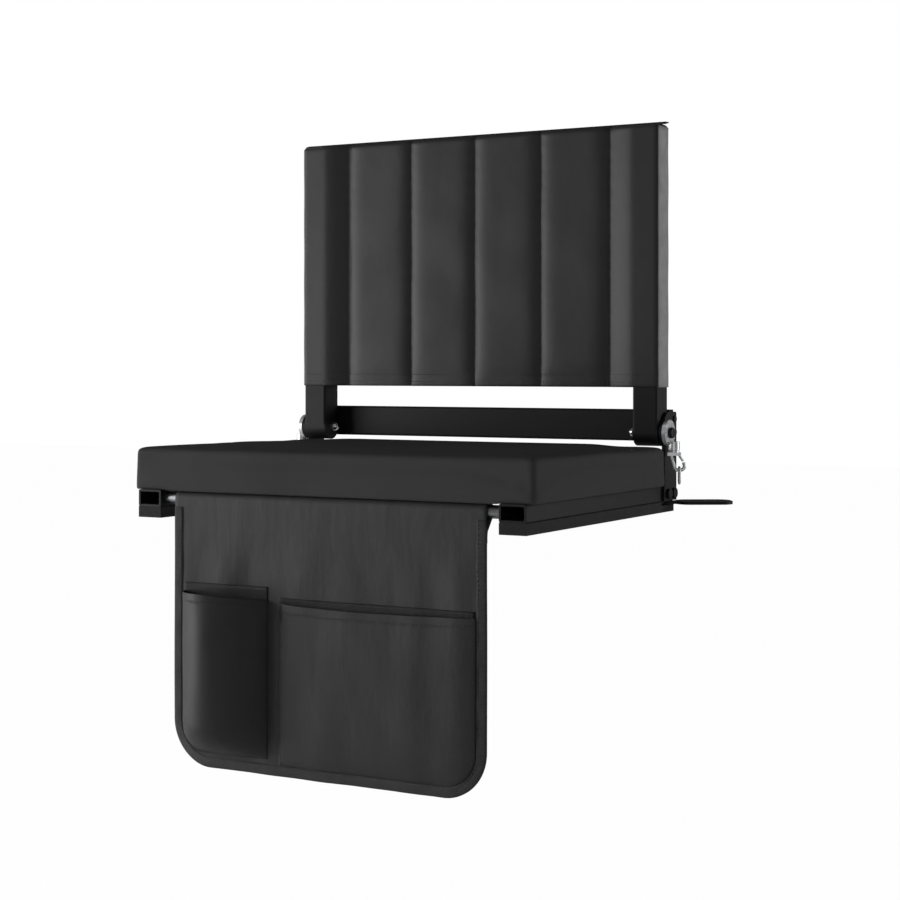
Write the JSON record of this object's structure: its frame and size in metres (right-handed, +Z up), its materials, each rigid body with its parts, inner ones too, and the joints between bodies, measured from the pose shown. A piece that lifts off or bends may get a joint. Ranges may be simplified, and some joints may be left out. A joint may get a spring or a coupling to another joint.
{
  "type": "stadium seat",
  "caption": "Padded bleacher seat on two rails with a channelled back that folds forward, a pocketed cloth apron hung at the front, swing-out bench hooks and snap clips at the hinges.",
  "frame": {"origin": "on the bench top, under the rubber strips, midway between the rails and midway along them", "axes": "+X across the seat to the right as seen from the front, -Y to the front, +Z up"},
  "size_m": [0.5572, 0.4221, 0.6516],
  "materials": {
    "powder_steel": "satin powder coat",
    "rubber_strip": "matt",
    "zinc_rod": "zinc plated",
    "plywood": "sanded",
    "seat_cloth": "woven polyester",
    "back_cloth": "woven polyester",
    "grey_gusset": "woven polyester",
    "black_piping": "woven tape",
    "foam": "open cell foam",
    "apron_cloth": "woven polyester",
    "binding_tape": "woven tape",
    "black_fastener": "black oxide",
    "plated_screw": "zinc plated",
    "bright_nut": "polished",
    "nylon": "moulded",
    "clip_chrome": "polished plating"
  },
  "bodies": {
    "seat_frame": {"left_rail": "powder_steel", "right_rail": "powder_steel", "left_rail_pad": "rubber_strip", "right_rail_pad": "rubber_strip", "front_rod": "zinc_rod", "rear_cross_tube": "powder_steel", "seat_board": "plywood", "seat_screws": "plated_screw", "seat_cover": "seat_cloth", "seat_foam": "foam", "left_hinge_ear": "powder_steel", "right_hinge_ear": "powder_steel", "ear_bolts": "black_fastener", "ear_nuts": "black_fastener", "backstop_bar": "powder_steel", "backstop_rivets": "black_fastener", "left_pivot_bolt": "black_fastener", "right_pivot_bolt": "black_fastener", "pivot_nuts": "bright_nut", "pivot_washers": "nylon", "bench_hook_rivets": "black_fastener"},
    "backrest": {"left_post": "powder_steel", "right_post": "powder_steel", "post_bushes": "nylon", "post_top_plugs": "nylon", "back_top_tube": "powder_steel", "back_foam": "foam", "back_cover": "back_cloth", "back_side_gussets": "grey_gusset", "back_top_piping": "black_piping"},
    "apron": {"apron_panel": "apron_cloth", "apron_binding": "binding_tape", "cup_pocket": "apron_cloth", "flat_pocket": "apron_cloth"},
    "left_bench_hook": {"left_bench_hook": "powder_steel"},
    "left_clip_eye": {"left_clip_eye": "clip_chrome"},
    "left_clip_hook": {"left_clip_hook": "clip_chrome", "left_gate_pin": "clip_chrome"},
    "left_clip_gate": {"left_clip_gate": "clip_chrome"},
    "left_strap_link": {"left_strap_link": "clip_chrome"},
    "right_bench_hook": {"right_bench_hook": "powder_steel"},
    "right_clip_eye": {"right_clip_eye": "clip_chrome"},
    "right_clip_hook": {"right_clip_hook": "clip_chrome", "right_gate_pin": "clip_chrome"},
    "right_clip_gate": {"right_clip_gate": "clip_chrome"},
    "right_strap_link": {"right_strap_link": "clip_chrome"}
  },
  "joints": [
    {"name": "back_fold", "type": "hinge", "parent": "seat_frame", "child": "backrest", "pos_m": [0, 0.1419, 0.083], "axis": [1, 0, 0], "range_deg": [0, 89]},
    {"name": "apron_swing", "type": "hinge", "parent": "seat_frame", "child": "apron", "pos_m": [0, -0.158, 0.0195], "axis": [1, 0, 0], "range_deg": [-80, 80]},
    {"name": "left_bench_hook_swing", "type": "hinge", "parent": "seat_frame", "child": "left_bench_hook", "pos_m": [-0.206, 0.158, 0.00925], "axis": [0, 0, -1], "range_deg": [-20, 148]},
    {"name": "left_clip_swing", "type": "hinge", "parent": "seat_frame", "child": "left_clip_eye", "pos_m": [-0.2258, 0.1419, 0.083], "axis": [1, 0, 0], "range_deg": [-15, 75]},
    {"name": "left_clip_swivel", "type": "hinge", "parent": "left_clip_eye", "child": "left_clip_hook", "pos_m": [-0.2321, 0.1419, 0.065], "axis": [0, 0, -1], "range_deg": [-25, 60]},
    {"name": "left_gate_open", "type": "hinge", "parent": "left_clip_hook", "child": "left_clip_gate", "pos_m": [-0.2361, 0.14416, 0.061], "axis": [-0.4924, -0.8704, 0], "range_deg": [0, 25], "stiffness_Nm_per_rad": 0.01},
    {"name": "left_link_swing", "type": "hinge", "parent": "left_clip_hook", "child": "left_strap_link", "pos_m": [-0.2369, 0.14462, 0.0445], "axis": [-0.8704, 0.4924, 0], "range_deg": [-35, 35]},
    {"name": "right_bench_hook_swing", "type": "hinge", "parent": "seat_frame", "child": "right_bench_hook", "pos_m": [0.206, 0.158, 0.00925], "axis": [0, 0, 1], "range_deg": [-20, 148]},
    {"name": "right_clip_swing", "type": "hinge", "parent": "seat_frame", "child": "right_clip_eye", "pos_m": [0.2258, 0.1419, 0.083], "axis": [1, 0, 0], "range_deg": [-15, 75]},
    {"name": "right_clip_swivel", "type": "hinge", "parent": "right_clip_eye", "child": "right_clip_hook", "pos_m": [0.2321, 0.1419, 0.065], "axis": [0, 0, 1], "range_deg": [-25, 60]},
    {"name": "right_gate_open", "type": "hinge", "parent": "right_clip_hook", "child": "right_clip_gate", "pos_m": [0.2361, 0.14416, 0.061], "axis": [-0.4924, 0.8704, 0], "range_deg": [0, 25], "stiffness_Nm_per_rad": 0.01},
    {"name": "right_link_swing", "type": "hinge", "parent": "right_clip_hook", "child": "right_strap_link", "pos_m": [0.2369, 0.14462, 0.0445], "axis": [0.8704, 0.4924, 0], "range_deg": [-35, 35]}
  ]
}
